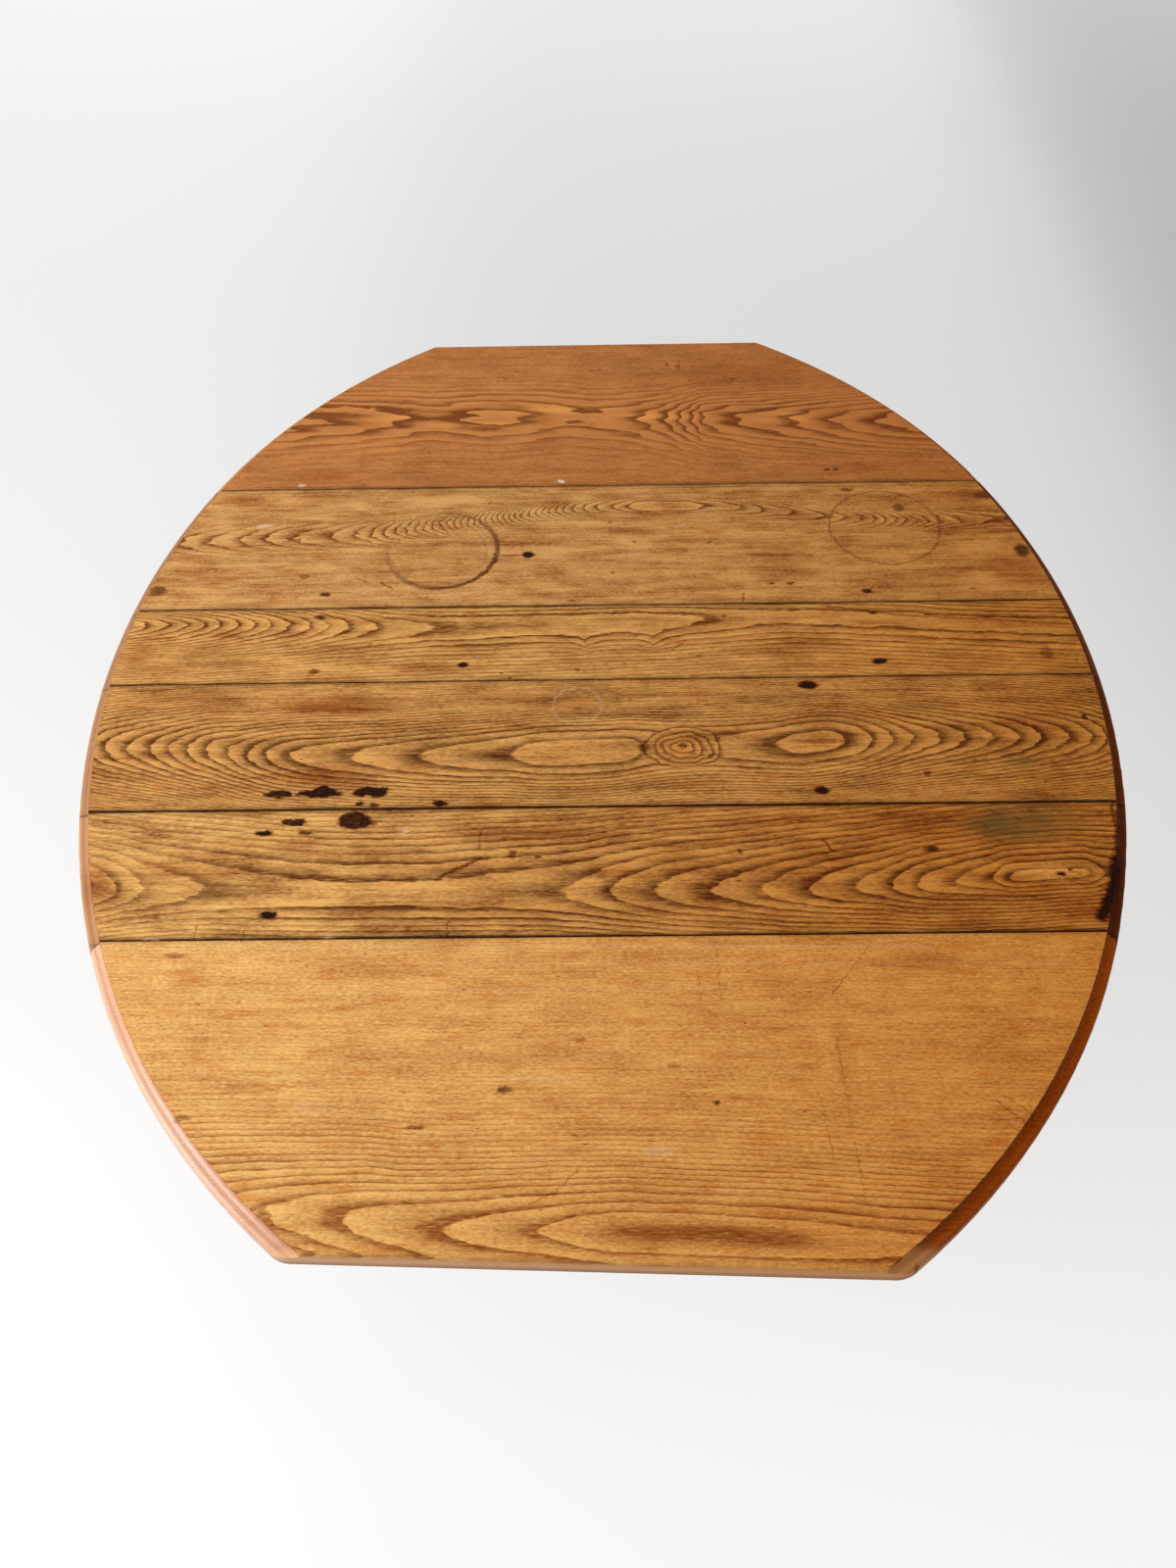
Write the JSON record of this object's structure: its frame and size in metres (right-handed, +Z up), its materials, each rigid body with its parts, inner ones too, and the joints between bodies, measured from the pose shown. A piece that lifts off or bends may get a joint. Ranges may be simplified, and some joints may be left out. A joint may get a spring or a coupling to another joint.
{
  "type": "drop-leaf dining table",
  "caption": "Wooden table with bowed moulded ends and two straight-edged leaves that fold down on rule joints, held up by swinging prop arms, on turned legs.",
  "frame": {"origin": "on the floor under the middle of the open table", "axes": "+X to the right along the hinge lines, +Y from the front leaf to the back leaf, +Z up"},
  "size_m": [1.066, 1.232, 0.737],
  "materials": {
    "top": "old waxed pine, worn",
    "leaf_back_wood": "old waxed pine, reddish",
    "leaf_front_wood": "old waxed pine",
    "base": "old waxed pine, darker",
    "inner_wood": "bare pine",
    "iron": "wrought, browned",
    "steel": "dull"
  },
  "bodies": {
    "table": {"top_board_back": "top", "top_board_second": "top", "top_board_third": "top", "top_board_front": "top", "leg_front_left": "base", "leg_front_right": "base", "leg_back_left": "base", "leg_back_right": "base", "apron_front": "base", "apron_back": "base", "apron_left": "base", "apron_right": "base", "middle_rail": "inner_wood", "joint_pegs": "inner_wood", "glue_blocks": "inner_wood", "hinge_short_plates_front": "iron", "hinge_short_plates_back": "iron", "prop_brackets_front": "iron", "prop_brackets_back": "iron", "hinge_pins_front": "steel", "hinge_pins_back": "steel", "top_screws": "steel", "hinge_screws_top": "steel", "prop_pins_front": "steel", "prop_pins_back": "steel", "bracket_screws": "steel"},
    "leaf_back": {"leaf_board_back": "leaf_back_wood", "hinge_long_plates_back": "iron", "hinge_screws_leaf_back": "steel", "battens_back": "inner_wood", "batten_screws_back": "steel"},
    "prop_back_left": {"prop_arm_back_left": "inner_wood"},
    "prop_back_right": {"prop_arm_back_right": "inner_wood"},
    "leaf_front": {"leaf_board_front": "leaf_front_wood", "hinge_long_plates_front": "iron", "hinge_screws_leaf_front": "steel", "battens_front": "inner_wood", "batten_screws_front": "steel"},
    "prop_front_left": {"prop_arm_front_left": "inner_wood"},
    "prop_front_right": {"prop_arm_front_right": "inner_wood"}
  },
  "joints": [
    {"name": "leaf_back_fold", "type": "hinge", "parent": "table", "child": "leaf_back", "pos_m": [0, 0.317, 0.718], "axis": [-1, 0, 0], "range_deg": [0, 90]},
    {"name": "prop_back_left_swing", "type": "hinge", "parent": "table", "child": "prop_back_left", "pos_m": [-0.18, 0.2625, 0.615], "axis": [-1, 0, 0], "range_deg": [0, 115]},
    {"name": "prop_back_right_swing", "type": "hinge", "parent": "table", "child": "prop_back_right", "pos_m": [0.18, 0.2625, 0.615], "axis": [-1, 0, 0], "range_deg": [0, 115]},
    {"name": "leaf_front_fold", "type": "hinge", "parent": "table", "child": "leaf_front", "pos_m": [0, -0.317, 0.718], "axis": [1, 0, 0], "range_deg": [0, 90]},
    {"name": "prop_front_left_swing", "type": "hinge", "parent": "table", "child": "prop_front_left", "pos_m": [-0.18, -0.2625, 0.615], "axis": [1, 0, 0], "range_deg": [0, 115]},
    {"name": "prop_front_right_swing", "type": "hinge", "parent": "table", "child": "prop_front_right", "pos_m": [0.18, -0.2625, 0.615], "axis": [1, 0, 0], "range_deg": [0, 115]}
  ],
  "couplings": [
    {"joint": "prop_back_left_swing", "follows": "leaf_back_fold", "ratio": 1.2777},
    {"joint": "prop_back_right_swing", "follows": "leaf_back_fold", "ratio": 1.2777},
    {"joint": "prop_front_left_swing", "follows": "leaf_front_fold", "ratio": 1.2777},
    {"joint": "prop_front_right_swing", "follows": "leaf_front_fold", "ratio": 1.2777}
  ]
}
